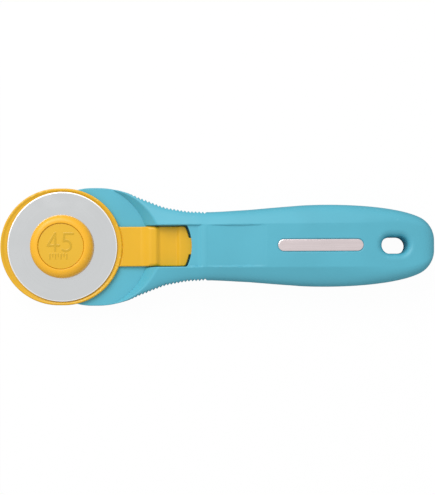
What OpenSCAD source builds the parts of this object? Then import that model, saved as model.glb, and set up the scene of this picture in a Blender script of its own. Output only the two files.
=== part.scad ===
// Rotary cutter with a 45 mm blade, a sliding blade guard and a two-shell handle.
// The tool lies on its back: +X runs from the blade to the hanging hole, +Z faces the user.
// Every module is drawn with the blade's axle at X = 0 and is moved to the row frame at the end.

/* [Blade] */
// Cutting diameter of the blade
blade_d = 45; // [40:0.5:50]
// Thickness of the blade
blade_t = 0.3; // [0.2:0.05:0.5]
// Hole in the middle of the blade
blade_hole_d = 8; // [7:0.1:9]
// Width of the ground bevel on each side of the cutting edge
bevel_w = 1.15; // [0.8:0.05:1.6]

/* [Axle] */
// Diameter of the bolt's threaded end
thread_d = 5; // [4:0.1:6]
// Diameter of the double-flat neck that stops the bolt from turning
neck_d = 6.4; // [5.8:0.1:7]
// Distance across the two flats of the bolt's neck
flats_w = 5; // [4.2:0.1:5.6]
// Across-corners diameter of the bolt's hexagon head
bolt_head_d = 11; // [9:0.1:12]
// Height of the bolt's hexagon head
bolt_head_h = 2.4; // [1.8:0.1:3]

/* [Knob] */
// Diameter of the knob over the blade
knob_d = 25.9; // [22:0.1:28]
// Height of the knob above the blade
knob_h = 4.7; // [4.4:0.1:6]
// Diameter of the flat disc set into the knob
cap_d = 18.7; // [16:0.1:19]
// Thickness of the disc set into the knob
cap_t = 1.2; // [0.8:0.1:1.4]
// How far the disc sits below the knob's rim
cap_sink = 0.3; // [0.1:0.05:0.5]

/* [Guard] */
// How far the guard's edge stands out past the blade's edge
guard_margin = 1.5; // [1:0.1:3]
// Extra reach of the guard in front of the blade
guard_lead = 1.6; // [0.5:0.1:3]
// Thickness of the guard's rim
guard_t = 1.65; // [1.4:0.05:2]
// Travel of the guard from covered to cutting
guard_travel = 10; // [7:0.5:10.5]
// Width of the guard's tongue
tongue_w = 16.3; // [12:0.1:16.6]
// Height of the thumb ridge above the guard's rim
ridge_h = 2.4; // [1.6:0.1:3]
// Width of the guide finger at the end of the tongue
finger_w = 6.8; // [5:0.1:8]
// Length of the guide finger
finger_l = 13; // [10:0.5:14]
// Thickness of the guide finger
finger_t = 1.4; // [1:0.1:1.8]

/* [Handle] */
// Distance from the axle to the end of the handle
handle_reach = 152.6; // [148:0.1:165]
// Distance from the axle to the narrowest part of the neck
neck_x = 55; // [53:0.1:58]
// Distance from the axle to the widest part of the belly
belly_x = 108.3; // [102:0.1:112]
// Width of the handle at its neck
neck_w = 27.8; // [26:0.1:31]
// Width of the handle at its belly
belly_w = 33.6; // [32:0.1:38]
// Height of the handle's top above the blade's mounting face
top_rise = 8.5; // [7.5:0.1:10]
// How much lower the handle's top is at the neck than at the belly
neck_drop = 2.2; // [1:0.1:2.6]
// Width of the flat band along the handle
band_w = 17.8; // [17.4:0.1:19]
// Thickness of the shells' walls
wall = 2; // [1.6:0.1:2.4]
// Depth of the thumb rest behind the guard's window
rest_depth = 0.6; // [0.3:0.05:0.8]
// Length of the thumb rest
rest_l = 24; // [20:0.5:26]
// Distance from the window's rear edge to the middle of the thumb rest
rest_back = 18.2; // [16:0.1:20]
// Clearance between the tongue and the sides of its channel
channel_gap = 0.55; // [0.4:0.05:1]

/* [Head] */
// Thickness of the head plate that carries the axle
head_t = 4; // [3.4:0.1:5]
// Distance from the axle back to the middle of the round head
head_back = 12; // [11:0.1:13]

/* [Nut] */
// Diameter of the nut
nut_d = 19; // [16:0.5:22]
// Height of the nut
nut_h = 3.3; // [3:0.1:4]
// Number of finger scallops around the nut
nut_scallops = 12; // [8:1:16]
// Distance across the flats of the metal insert
insert_w = 8; // [7.6:0.1:9]
// Bow of the spring washer
washer_bow = 0.4; // [0.2:0.05:0.6]
// Thickness of the spring washer's metal
washer_t = 0.3; // [0.2:0.05:0.4]
// Outer diameter of the spring washer
washer_d = 14.4; // [12:0.1:15]

/* [Fittings] */
// Length of the name plate
plate_l = 34.6; // [28:0.1:38]
// Width of the name plate
plate_w = 4.8; // [4:0.1:6]
// Thickness of the name plate
plate_t = 0.6; // [0.4:0.05:0.8]
// Distance from the middle of the name plate to the middle of the hanging hole
plate_to_hole = 30.3; // [28:0.1:32]
// Length of the hanging hole at the parting line
hole_l = 10; // [9:0.1:13]
// Width of the hanging hole at the parting line
hole_w = 6.5; // [5:0.1:8]
// Widening of the hanging hole for each mm of height from the parting line
hole_draft = 0.06; // [0:0.01:0.1]
// Distance from the middle of the hanging hole to the end of the handle
hole_inset = 16.7; // [15:0.1:18]
// Radius of the rounding around the hanging hole
hole_flare = 2.6; // [1.5:0.1:3]
// Thread diameter of the shell screws
screw_d = 2.2; // [2:0.1:2.4]
// Head diameter of the shell screws
screw_head_d = 4.2; // [3.8:0.1:4.6]

/* [Hidden] */
$fn = 96;

fit = 0.1;            // gap between flat faces that slide or turn on each other
run = 0.05;           // radial gap of a running fit
cut = 1;              // how far a cutting body reaches past the face it opens
table_gap = 0.5;      // the nut stays this far above the surface the tool lies on
head_lip = 0.25;      // the head plate is this much larger in radius than the guard

// Levels from the surface the tool lies on, up through the axle's stack.
nut_z = table_gap;
washer_z = nut_z + nut_h + fit;
head_z = washer_z + washer_bow + washer_t + fit;
plate_z = head_z + head_t;
guard_z = plate_z + fit;
blade_z = guard_z + guard_t + fit;
knob_z = blade_z + blade_t + fit;
cap_z = knob_z + knob_h - cap_sink - cap_t;
top_z = plate_z + top_rise;

// Radii that follow the blade.
blade_r = blade_d / 2;
guard_r = blade_r + guard_margin;
head_r = guard_r + head_lip;
guard_nose = -guard_lead;        // middle of the guard's front round
guard_heel = 0.6;                // middle of the guard's rear round
shoulder_r = blade_hole_d / 2 - run;

// Stations along the handle, from the axle.
head_x = head_back;
shell_x = head_x + 0.32 * head_r;          // tip of the front shell beside the guard's pocket
tail_r = 9.5;                              // length of the rounding at the end of the handle
tail_start = belly_x + 12;                 // from here the stations close up towards the end
tail_x = handle_reach - tail_r;
head_flat = 2.5;                           // the head keeps its full width for this far
tail_power = 0.275;                        // bluntness of the handle's end, seen from above
ramp_x0 = head_x + 0.7 * head_r;           // the back steps down from the head plate between these
ramp_x1 = ramp_x0 + 11;

// The tongue and the window that it runs through.
tongue_r = 18.3;                           // radius of the tongue's rounded end
ridge_x = head_x + head_r + 1.3;           // crest of the thumb ridge
tongue_mid = ridge_x - 3.45;               // middle of the rounded end's circle
tongue_low = 0.3;                          // the tongue's flat is this far below the guard's rim
tongue_root = guard_r - 4;                 // where the tongue starts inside the rim
rim_step = 0.4;                            // height of the rim above the guard's floor
rim_w = guard_margin + 1.4;                // width of the rim
land_w = 4;                                // width of the land beside the guard's slot
rim_edge = 0.35;                           // the rim's crest is this far inside the guard's edge
tongue_end = tongue_mid + tongue_r;
ridge_half = 1;                            // half the width of the ridge's crest
rest_low = 0.75;                           // the thumb hollow's height above the guard's rim
end_rise = 0.8;                            // the tongue's end stands this far above the hollow
end_gap = 0.85;                            // gap between the tongue's end and the window
window_x = tongue_end + end_gap;
channel_w = tongue_w + 2 * channel_gap;
end_z = guard_z + guard_t + rest_low + end_rise;
finger_z = end_z - finger_t;
bar_gap = 0.4;                             // gap between the tongue's end and the bar over it
bar_drop = 0.8;                            // the bar's front lip is this far below the band
bar_l = 5.2;                               // length of the bar's ramp behind its lip
rest_x = window_x + rest_back;             // middle of the thumb rest
rest_w = band_w - 1.2;
pocket_slope = 0.65;                       // run of the guard pocket's wall for each mm of height
pocket_x = guard_heel + guard_travel - 0.9; // middle of the guard pocket's round
pocket_r = guard_r + 1.5;                  // radius of the guard pocket at the head plate

// Fittings.
hole_x = handle_reach - hole_inset;
plate_x = hole_x - plate_to_hole;
plate_sink = 0.5;                          // depth of the name plate's pocket at its middle
screw_back = [13.5, 5];                    // the pairs' distances behind the neck and the belly
screw_x = [neck_x + screw_back[0], belly_x + screw_back[1]];
screw_y = [8.2, 9.4];
boss_r = screw_d / 2 + 1.7;
screw_head_h = 1.4;
screw_deep = 2.2;                          // depth of the counterbore over a screw's head
insert_h = nut_h - 0.4;

function mix(a, b, t) = a + (b - a) * t;
function clamp(v) = min(1, max(0, v));
function ease(v) = (1 - cos(180 * clamp(v))) / 2;
function arc(r, a0, a1, n, cx = 0, cy = 0) =
    [for (i = [0:n]) let (a = mix(a0, a1, i / n)) [cx + r * cos(a), cy + r * sin(a)]];

// Half the width of the handle at x: round head, waisted neck, full belly, rounded tail.
function half_width(x) =
    x < head_x ? sqrt(max(0, head_r * head_r - pow(x - head_x, 2)))
    : x < neck_x ? mix(head_r, neck_w / 2, ease((x - head_x - head_flat) / (neck_x - head_x - head_flat)))
    : x < belly_x ? mix(neck_w, belly_w, ease((x - neck_x) / (belly_x - neck_x))) / 2
    : belly_w / 2 * pow(max(0, 1 - pow((x - belly_x) / (handle_reach - belly_x), 2)), tail_power);

// Closing factor of the rounded tail: 1 along the handle, 0 at its end.
function closing(x) = x < tail_x ? 1 : sqrt(max(0, 1 - pow((x - tail_x) / tail_r, 2)));

// Height of the top band and of the underside at x.
function arch(x) = neck_drop * pow((x - belly_x) / (belly_x - head_x - head_r - 9), 2);
function top_at(x) = plate_z + (top_rise - arch(x)) * closing(x);
function low_at(x) = plate_z - mix(head_t, plate_z, ease((x - ramp_x0) / (ramp_x1 - ramp_x0))) * closing(x);
function band_at(x) = min(band_w / 2, 0.62 * half_width(x));
function foot_at(x) = mix(max(half_width(x) - 2.2, 0.7 * half_width(x)), band_at(x),
    ease((x - ramp_x0) / (ramp_x1 - ramp_x0)));

// One side of a section: from the edge of the band (band, height) round to the parting line.
side_steps = 7;
function side(w, band, h) = [for (i = [0:side_steps]) let (a = 90 * i / side_steps)
    [mix(band, w, sin(a)), h * cos(a) * (1 - 0.16 * sin(a))]];

// Sections at x, shrunk all round by inset: above the parting plane and below it.
function upper_section(x, inset) =
    let (s = side(half_width(x) - inset, band_at(x) - inset / 2, top_at(x) - plate_z - inset))
    concat([for (p = s) [x, p[0], plate_z + p[1]]],
        [for (i = [side_steps:-1:0]) [x, -s[i][0], plate_z + s[i][1]]]);
function lower_section(x, inset) =
    let (s = side(half_width(x) - inset, foot_at(x) - inset / 2, plate_z - low_at(x) - inset))
    concat([for (p = s) [x, -p[0], plate_z - p[1]]],
        [for (i = [side_steps:-1:0]) [x, s[i][0], plate_z - s[i][1]]]);

// Even steps between two stations, and steps that close up towards the tail.
function steps(x0, x1, n) = [for (i = [0:n - 1]) mix(x0, x1, i / n)];
function tail_steps(x0, x1, n) = [for (i = [0:n]) mix(x0, x1, sin(88 * i / n) / sin(88))];
head_stations = [for (i = [1:8]) head_x - head_r * cos(i * 90 / 8 - 5)];
neck_stations = steps(head_x + 1, neck_x, 14);
grip_stations = steps(neck_x, tail_start, 10);
end_stations = tail_steps(tail_start, handle_reach - 0.02, 11);

// Skin through a list of sections that all have the same number of points.
module loft(sections) {
    m = len(sections[0]);
    n = len(sections);
    points = [for (s = sections) each s];
    sides = [for (i = [0:n - 2], j = [0:m - 1]) let (k = (j + 1) % m, a = i * m, b = a + m)
        each [[a + j, b + k, b + j], [a + j, a + k, b + k]]];
    first = [for (j = [1:m - 2]) [0, j + 1, j]];
    last = [for (j = [1:m - 2]) let (e = (n - 1) * m) [e, e + j, e + j + 1]];
    polyhedron(points, concat(sides, first, last), convexity = 6);
}

// Outline made of two equal rounds and the straight stretch between them.
module stadium(r, x0, x1) {
    translate([x0, 0]) circle(r);
    translate([x1, 0]) circle(r);
    translate([x0, -r]) square([x1 - x0, 2 * r]);
}

// Ring turned about the axle from an outline of [radius, height] points.
module turned(points) rotate_extrude() polygon(points);

module slab(x0, x1, w, z0, z1) translate([x0, -w / 2, z0]) cube([x1 - x0, w, z1 - z0]);

// Shallow hollow across a face at height z: a slice of a cylinder that lies along Y.
module scoop(x, half, depth, w, z) {
    r = (half * half + depth * depth) / (2 * depth);
    translate([x, 0, z + r - depth]) rotate([90, 0, 0])
        cylinder(r = r, h = w, center = true, $fn = 180);
}

// Through hole with rounded rims, as a body to cut away.
module hang_hole_cut(z0, z1) {
    r0 = hole_w / 2 + hole_draft * (plate_z - z0) + hole_flare;
    r1 = hole_w / 2 + hole_draft * (z1 - plate_z) + hole_flare;
    reach = (hole_l - hole_w) / 2;
    profile = concat(
        [[0, z0 - cut], [r0, z0 - cut]],
        arc(hole_flare, 270, 180, 8, r0, z0 + hole_flare),
        [[hole_w / 2, plate_z]],
        arc(hole_flare, 180, 90, 8, r1, z1 - hole_flare),
        [[r1, z1 + cut], [0, z1 + cut]]);
    translate([hole_x, 0, 0]) {
        for (s = [-1, 1]) translate([s * reach, 0, 0]) rotate_extrude() polygon(profile);
        rotate([90, 0, 90]) translate([0, 0, -reach]) linear_extrude(2 * reach)
            for (s = [0, 1]) mirror([s, 0]) polygon(profile);
    }
}

// Wall around the hanging hole inside a shell.
module hang_hole_wall(z0, z1) {
    reach = (hole_l - hole_w) / 2;
    translate([hole_x, 0, z0]) linear_extrude(z1 - z0)
        stadium(hole_w / 2 + hole_flare + 0.8, -reach, reach);
}

module at_screws(i) for (s = [-1, 1]) translate([screw_x[i], s * screw_y[i], 0]) children();

// Depth that a screw's point reaches up into its boss in the front shell.
function screw_top(i) = top_at(screw_x[i]) - wall - 1.6;

module shell_screws(i) color("silver") at_screws(i) {
    translate([0, 0, screw_deep - screw_head_h]) difference() {
        cylinder(d = screw_head_d, h = screw_head_h);
        for (a = [0, 90]) rotate(a) translate([-1.1, -0.3, -cut]) cube([2.2, 0.6, cut + 0.7]);
    }
    translate([0, 0, screw_deep - 0.5]) cylinder(d = screw_d, h = screw_top(i) - screw_deep - 0.1);
    translate([0, 0, screw_top(i) - 0.6]) cylinder(d1 = screw_d, d2 = 0.9, h = 0.6);
}

module handle_back_shell() color([0.36, 0.70, 0.79]) {
    difference() {
        loft([for (x = concat(head_stations, neck_stations, grip_stations, end_stations))
            lower_section(x, 0)]);
        // Hollow of the grip, left solid under the tongue's two rails and round the hole.
        difference() {
            loft([for (x = concat(steps(ramp_x1 + 1.5, neck_x, 5), grip_stations,
                    tail_steps(tail_start, handle_reach - wall - 0.8, 8)))
                let (s = lower_section(x, wall)) [for (p = s) p[2] >= plate_z - 0.001
                    ? [p[0], p[1], plate_z + cut] : p]]);
            for (s = [-1, 1]) translate([0, s * (channel_w - 2) / 2, 0])
                slab(ramp_x1, tongue_end + guard_travel + 2, 5, 0, plate_z);
            hang_hole_wall(0, plate_z + 2 * cut);
            for (i = [0, 1]) at_screws(i) cylinder(r = boss_r, h = plate_z + 2 * cut);
        }
        // Seat of the bolt's shoulder, the double-flat hole and the screws' ways.
        translate([0, 0, head_z + head_t / 2]) cylinder(r = shoulder_r + run, h = head_t);
        translate([0, 0, head_z - cut]) intersection() {
            cylinder(d = neck_d + 2 * run, h = head_t);
            translate([-neck_d, -flats_w / 2 - run, 0]) cube([2 * neck_d, flats_w + 2 * run, head_t]);
        }
        for (i = [0, 1]) at_screws(i) {
            translate([0, 0, -cut]) cylinder(d = screw_d + 0.4, h = plate_z + 2 * cut);
            translate([0, 0, -cut]) cylinder(d = screw_head_d + 0.4, h = cut + screw_deep);
        }
        hang_hole_cut(low_at(hole_x), 4 * plate_z);
    }
}

module handle_front_shell() color([0.39, 0.72, 0.81]) {
    difference() {
        loft([for (x = concat(steps(shell_x, neck_x, 13), grip_stations, end_stations))
            upper_section(x, 0)]);
        // Hollow of the grip, with walls left beside the channel and round the hole.
        difference() {
            loft([for (x = concat(steps(ridge_x + 6, neck_x, 5), grip_stations,
                    tail_steps(tail_start, handle_reach - wall - 0.8, 8)))
                let (s = upper_section(x, wall)) [for (p = s) p[2] <= plate_z + 0.001
                    ? [p[0], p[1], plate_z - cut] : p]]);
            for (s = [-1, 1]) translate([0, s * (channel_w + 2.2) / 2, 0])
                slab(ridge_x, window_x, 2.2, plate_z - 2 * cut, top_z);
            hang_hole_wall(plate_z - 2 * cut, top_z + cut);
            for (i = [0, 1]) at_screws(i)
                translate([0, 0, plate_z - 2 * cut]) cylinder(r = boss_r, h = top_z);
        }
        // Pocket for the drawn-back guard: a cone round the middle of its rear round.
        translate([pocket_x, 0, plate_z - cut]) cylinder(r1 = pocket_r - cut * pocket_slope,
            r2 = pocket_r + (top_rise + cut) * pocket_slope, h = top_rise + 2 * cut, $fn = 180);
        // Channel of the tongue, ending in the rounded window.
        translate([0, 0, plate_z - cut]) linear_extrude(top_rise + 2 * cut) intersection() {
            translate([0, -channel_w / 2]) square([window_x + 1, channel_w]);
            union() {
                square([2 * tongue_mid, 2 * channel_w], center = true);
                translate([tongue_mid, 0]) circle(tongue_r + end_gap, $fn = 180);
            }
        }
        // Way for the tongue's end under the bar, as wide as the channel.
        slab(ridge_x, tongue_end + guard_travel + 2, channel_w, plate_z - cut,
            min(end_z + bar_gap, top_at(window_x) - bar_drop - 1.1));
        scoop(window_x - bar_l, 2 * bar_l, 4 * bar_drop / 3, channel_w, top_at(window_x + bar_l));
        scoop(rest_x, rest_l / 2, rest_depth, rest_w, top_at(rest_x));
        translate([plate_x, 0, top_at(plate_x) - plate_sink]) linear_extrude(top_rise)
            stadium(plate_w / 2 + fit, -(plate_l - plate_w) / 2, (plate_l - plate_w) / 2);
        for (i = [0, 1]) at_screws(i) translate([0, 0, plate_z - cut])
            cylinder(d = screw_d + 2 * run, h = screw_top(i) - plate_z + cut + 0.3);
        hang_hole_cut(-2 * plate_z, top_at(hole_x));
    }
}

module name_plate() color([0.84, 0.84, 0.83])
    translate([plate_x, 0, top_at(plate_x) - plate_sink]) linear_extrude(plate_t)
        stadium(plate_w / 2, -(plate_l - plate_w) / 2, (plate_l - plate_w) / 2);

// Bolt: hexagon head inside the knob, round shoulder for the blade, double-flat neck, thread.
module axle_bolt() color([0.72, 0.73, 0.75]) {
    neck_z = head_z + head_t / 2 + fit;
    translate([0, 0, cap_z - fit - bolt_head_h]) cylinder(d = bolt_head_d, h = bolt_head_h, $fn = 6);
    translate([0, 0, neck_z]) cylinder(r = shoulder_r, h = cap_z - fit - bolt_head_h - neck_z);
    translate([0, 0, head_z]) intersection() {
        cylinder(d = neck_d, h = neck_z - head_z);
        translate([-neck_d, -flats_w / 2, 0]) cube([2 * neck_d, flats_w, head_t]);
    }
    translate([0, 0, nut_z + 0.3]) cylinder(d = thread_d, h = head_z - nut_z - 0.3);
}

// Knob: a dished ring with a rounded shoulder, bored for the bolt and its head.
module knob() color([0.95, 0.70, 0.18]) difference() {
    rim = knob_h + knob_z;
    round_r = (knob_d - cap_d) / 2 - 0.7;
    turned(concat([[0, knob_z], [knob_d / 2 - 0.5, knob_z], [knob_d / 2, knob_z + 0.5]],
        [[knob_d / 2, rim - round_r]],
        arc(round_r, 0, 90, 12, knob_d / 2 - round_r, rim - round_r),
        [[0, rim]]));
    translate([0, 0, cap_z - fit / 2]) cylinder(d = cap_d + fit, h = knob_h);
    translate([0, 0, cap_z - fit - bolt_head_h]) cylinder(d = bolt_head_d + fit, h = knob_h, $fn = 6);
    translate([0, 0, knob_z - cut]) cylinder(r = shoulder_r + run / 2, h = knob_h);
}

module knob_cap() color([0.90, 0.69, 0.17])
    translate([0, 0, cap_z]) cylinder(d = cap_d, h = cap_t);

// Spring washer: a flat ring bowed about a line along Y.
module spring_washer() color([0.70, 0.71, 0.73]) {
    half = washer_d / 2;
    bow_r = (half * half + washer_bow * washer_bow) / (2 * washer_bow);
    translate([0, 0, washer_z]) intersection() {
        difference() {
            cylinder(d = washer_d, h = 2);
            translate([0, 0, -cut]) cylinder(d = neck_d + 0.6, h = 2 + 2 * cut);
        }
        translate([0, 0, washer_bow + washer_t - bow_r]) rotate([90, 0, 0]) difference() {
            cylinder(r = bow_r, h = washer_d + 2, center = true, $fn = 360);
            cylinder(r = bow_r - washer_t, h = washer_d + 4, center = true, $fn = 360);
        }
    }
}

// Nut: a dished plastic wheel with finger scallops and a grip bar, moulded round its insert.
module nut() color([0.95, 0.70, 0.18]) {
    dish_z = nut_h * 0.42;
    translate([0, 0, nut_z]) difference() {
        union() {
            cylinder(d1 = nut_d - 1, d2 = nut_d, h = 0.5);
            translate([0, 0, 0.5]) cylinder(d = nut_d, h = nut_h - 0.5);
        }
        translate([0, 0, -cut]) difference() {
            cylinder(d = nut_d - 3.6, h = dish_z + cut);
            translate([-nut_d, -1.6, 0]) cube([2 * nut_d, 3.2, dish_z + cut]);
            cylinder(d = insert_w * 1.155 + 2, h = dish_z + cut);
        }
        for (i = [0:nut_scallops - 1]) rotate(i * 360 / nut_scallops)
            translate([nut_d / 2 + 1.2, 0, -cut]) cylinder(r = 1.9, h = nut_h + 2 * cut, $fn = 32);
        translate([0, 0, nut_h - insert_h]) cylinder(d = insert_w / cos(30), h = nut_h, $fn = 6);
        translate([0, 0, -cut]) cylinder(d = thread_d + 1, h = nut_h);
    }
}

module nut_insert() color([0.80, 0.66, 0.36]) translate([0, 0, nut_z + nut_h - insert_h]) difference() {
    cylinder(d = insert_w / cos(30) - 0.02, h = insert_h, $fn = 6);
    translate([0, 0, -cut]) cylinder(d = thread_d + 2 * run, h = insert_h + 2 * cut);
}

// Blade: a thin disc, ground from both sides to an edge at mid-thickness.
module blade() color([0.82, 0.82, 0.82]) translate([0, 0, blade_z]) turned([
    [blade_hole_d / 2, 0], [blade_r - bevel_w, 0], [blade_r, blade_t / 2 - 0.02],
    [blade_r, blade_t / 2 + 0.02], [blade_r - bevel_w, blade_t], [blade_hole_d / 2, blade_t]]);

// Height of the tongue's top at x: flat, up to the thumb ridge, down to the hollow, up to its end.
function tongue_at(x) = guard_z + guard_t - tongue_low
    + (ridge_h + tongue_low) * ease((x - ridge_x + ridge_half + 2.6) / 2.6)
    - (ridge_h - rest_low) * ease((x - ridge_x - ridge_half) / 2)
    + end_rise * ease((x - ridge_x - ridge_half - 8) / 2.4);

module blade_guard() color([0.95, 0.71, 0.19]) {
    floor_z = guard_z + guard_t - rim_step;
    difference() {
        union() {
            translate([0, 0, guard_z]) linear_extrude(guard_t - rim_step)
                stadium(guard_r, guard_nose, guard_heel);
            translate([0, 0, floor_z]) linear_extrude(rim_step) difference() {
                stadium(guard_r - rim_edge, guard_nose, guard_heel);
                stadium(guard_r - rim_w, guard_nose, guard_heel);
            }
            // Land that carries the blade beside the slot.
            translate([0, 0, floor_z]) linear_extrude(rim_step)
                stadium(blade_hole_d / 2 + land_w, -guard_travel, 0);
            // Tongue with its thumb ridge and rounded end.
            intersection() {
                translate([0, tongue_w / 2, 0]) rotate([90, 0, 0]) linear_extrude(tongue_w) polygon(concat(
                    [[tongue_end + cut, guard_z], [tongue_root, guard_z], [tongue_root, floor_z]],
                    [for (i = [0:40]) let (x = mix(guard_r, tongue_end + cut, i / 40)) [x, tongue_at(x)]]));
                linear_extrude(2 * top_z) union() {
                    translate([0, -tongue_w]) square([tongue_mid, 2 * tongue_w]);
                    translate([tongue_mid, 0]) circle(tongue_r, $fn = 180);
                }
            }
            // Guide finger that runs under the bar and holds the tongue down.
            slab(tongue_end - 2, tongue_end + finger_l, finger_w, finger_z, finger_z + finger_t);
        }
        // Slot for the bolt's shoulder: its ends stop the guard.
        translate([0, 0, guard_z - cut]) linear_extrude(guard_t + 2 * cut)
            stadium(shoulder_r + 2 * fit, -guard_travel, 0);
    }
}

module placed() translate([(guard_r - guard_nose - handle_reach) / 2, 0, 0]) children();

placed() handle_back_shell();
placed() handle_front_shell();
placed() shell_screws(0);  // shell_screws_front
placed() shell_screws(1);  // shell_screws_rear
placed() name_plate();
placed() axle_bolt();
placed() knob();
placed() knob_cap();
placed() spring_washer();
placed() nut();
placed() nut_insert();
placed() blade();
placed() blade_guard();
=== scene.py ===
# A 45 mm rotary cutter lying on its back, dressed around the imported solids.
import bpy
import numpy as np
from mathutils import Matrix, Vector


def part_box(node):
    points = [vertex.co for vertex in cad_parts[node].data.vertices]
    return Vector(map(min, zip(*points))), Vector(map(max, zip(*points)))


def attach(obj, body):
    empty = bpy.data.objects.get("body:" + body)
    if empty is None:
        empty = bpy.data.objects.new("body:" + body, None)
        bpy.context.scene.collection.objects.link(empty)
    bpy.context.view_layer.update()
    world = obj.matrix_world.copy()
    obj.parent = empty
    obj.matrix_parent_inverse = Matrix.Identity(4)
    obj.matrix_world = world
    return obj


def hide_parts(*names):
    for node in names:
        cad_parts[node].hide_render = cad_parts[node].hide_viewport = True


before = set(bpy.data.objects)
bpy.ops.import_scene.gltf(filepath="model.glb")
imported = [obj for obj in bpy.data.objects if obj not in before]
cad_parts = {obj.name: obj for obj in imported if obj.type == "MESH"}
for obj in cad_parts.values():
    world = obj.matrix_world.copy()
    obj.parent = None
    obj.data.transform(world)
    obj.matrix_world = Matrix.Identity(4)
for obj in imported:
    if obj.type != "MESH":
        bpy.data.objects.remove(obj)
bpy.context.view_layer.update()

mm = 0.001
far = 99.0                              # in mm, beyond every surface
tiny = 1e-9                             # keeps sums off zero
slopeStep = 0.05                        # in mm, for slopes along X
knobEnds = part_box("knob")
axleX = (knobEnds[0].x + knobEnds[1].x) / 2     # the blade's axle, along the row frame's X


def span(node):
    # a node's two corners in mm, with X counted from the axle
    low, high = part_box(node)
    shift = np.array([axleX, 0, 0])
    return (np.array(low) - shift) / mm, (np.array(high) - shift) / mm


# camera, looking straight down

# held a little towards the tool's lower side, with the lens shifted back onto it; mm and degrees
cameraSet = dict(x=0.12, y=-25.45, z=508.7, plane=8.7, lens=88.26, sensor=36, turn=-0.23, shift=25)

cameraData = bpy.data.cameras.new("overheadCamera")
cameraData.lens = cameraSet["lens"]
cameraData.sensor_width = cameraSet["sensor"]
cameraData.shift_y = (cameraSet["shift"] / (cameraSet["z"] - cameraSet["plane"])
                      * cameraSet["lens"] / cameraSet["sensor"])
camera = bpy.data.objects.new("overheadCamera", cameraData)
camera.location = [cameraSet[a] * mm for a in "xyz"]
camera.rotation_euler = (0, 0, np.radians(cameraSet["turn"]))
bpy.context.scene.collection.objects.link(camera)
bpy.context.scene.camera = camera
bpy.context.scene.view_settings.view_transform = "Standard"
print("camera set")


# small sums that the shapes share

def mix(a, b, t):
    return a + (b - a) * t


def ease(v):
    return (1 - np.cos(np.pi * np.clip(v, 0, 1))) / 2


def blend(x, start, length):
    # 0 up to start, easing to 1 over the length
    return ease((x - start) / length)


def roundMax(a, b, r):
    # both shapes' common part, with its edge rounded by r
    return (np.minimum(-r, np.maximum(a, b))
            + np.hypot(np.maximum(a + r, 0), np.maximum(b + r, 0)))


def roundMin(a, b, r):
    return -roundMax(-a, -b, r)


def pillGap(x, y, r, x0, x1):
    # distance to a pill outline: two rounds of radius r at x0 and x1, joined
    return np.hypot(x - np.clip(x, x0, x1), y) - r


def strokeGap(x, y, line, half):
    # distance to a pen line of half-width half through the given points
    gap = np.full(np.broadcast(x, y).shape, far)
    for (ax, ay), (bx, by) in zip(line, line[1:]):
        dx, dy = bx - ax, by - ay
        t = np.clip(((x - ax) * dx + (y - ay) * dy) / (dx * dx + dy * dy), 0, 1)
        gap = np.minimum(gap, np.hypot(x - ax - t * dx, y - ay - t * dy))
    return gap - half


def hexGap(x, y, half):
    # distance to a hexagon with its corners on X; half is half its width across flats
    sides = [np.abs(x * np.cos(a) + y * np.sin(a)) for a in np.radians([30, 90, 150])]
    return np.maximum(np.maximum(sides[0], sides[1]), sides[2]) - half


def helix(x, y, z, pitch):
    # 0 at a thread's crest, 1 at its root
    return 1 - np.abs(2 * np.mod(z / pitch - np.arctan2(y, x) / (2 * np.pi), 1) - 1)


def colour(red, green, blue):
    # 0..255 screen values to the linear numbers that the shader takes
    c = np.array([red, green, blue]) / 255
    return (*np.where(c > 0.04045, ((c + 0.055) / 1.055) ** 2.4, c / 12.92), 1.0)


# mesh makers

def addMesh(name, points, faces, smoothUnder):
    # smoothUnder is the angle in degrees above which an edge is drawn sharp
    mesh = bpy.data.meshes.new(name)
    mesh.from_pydata((np.asarray(points) * mm).tolist(), [], faces)
    mesh.update()
    mesh.shade_smooth()
    mesh.set_sharp_from_angle(angle=np.radians(smoothUnder))
    piece = bpy.data.objects.new(name, mesh)
    piece.location = (axleX, 0, 0)
    bpy.context.scene.collection.objects.link(piece)
    return piece


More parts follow.
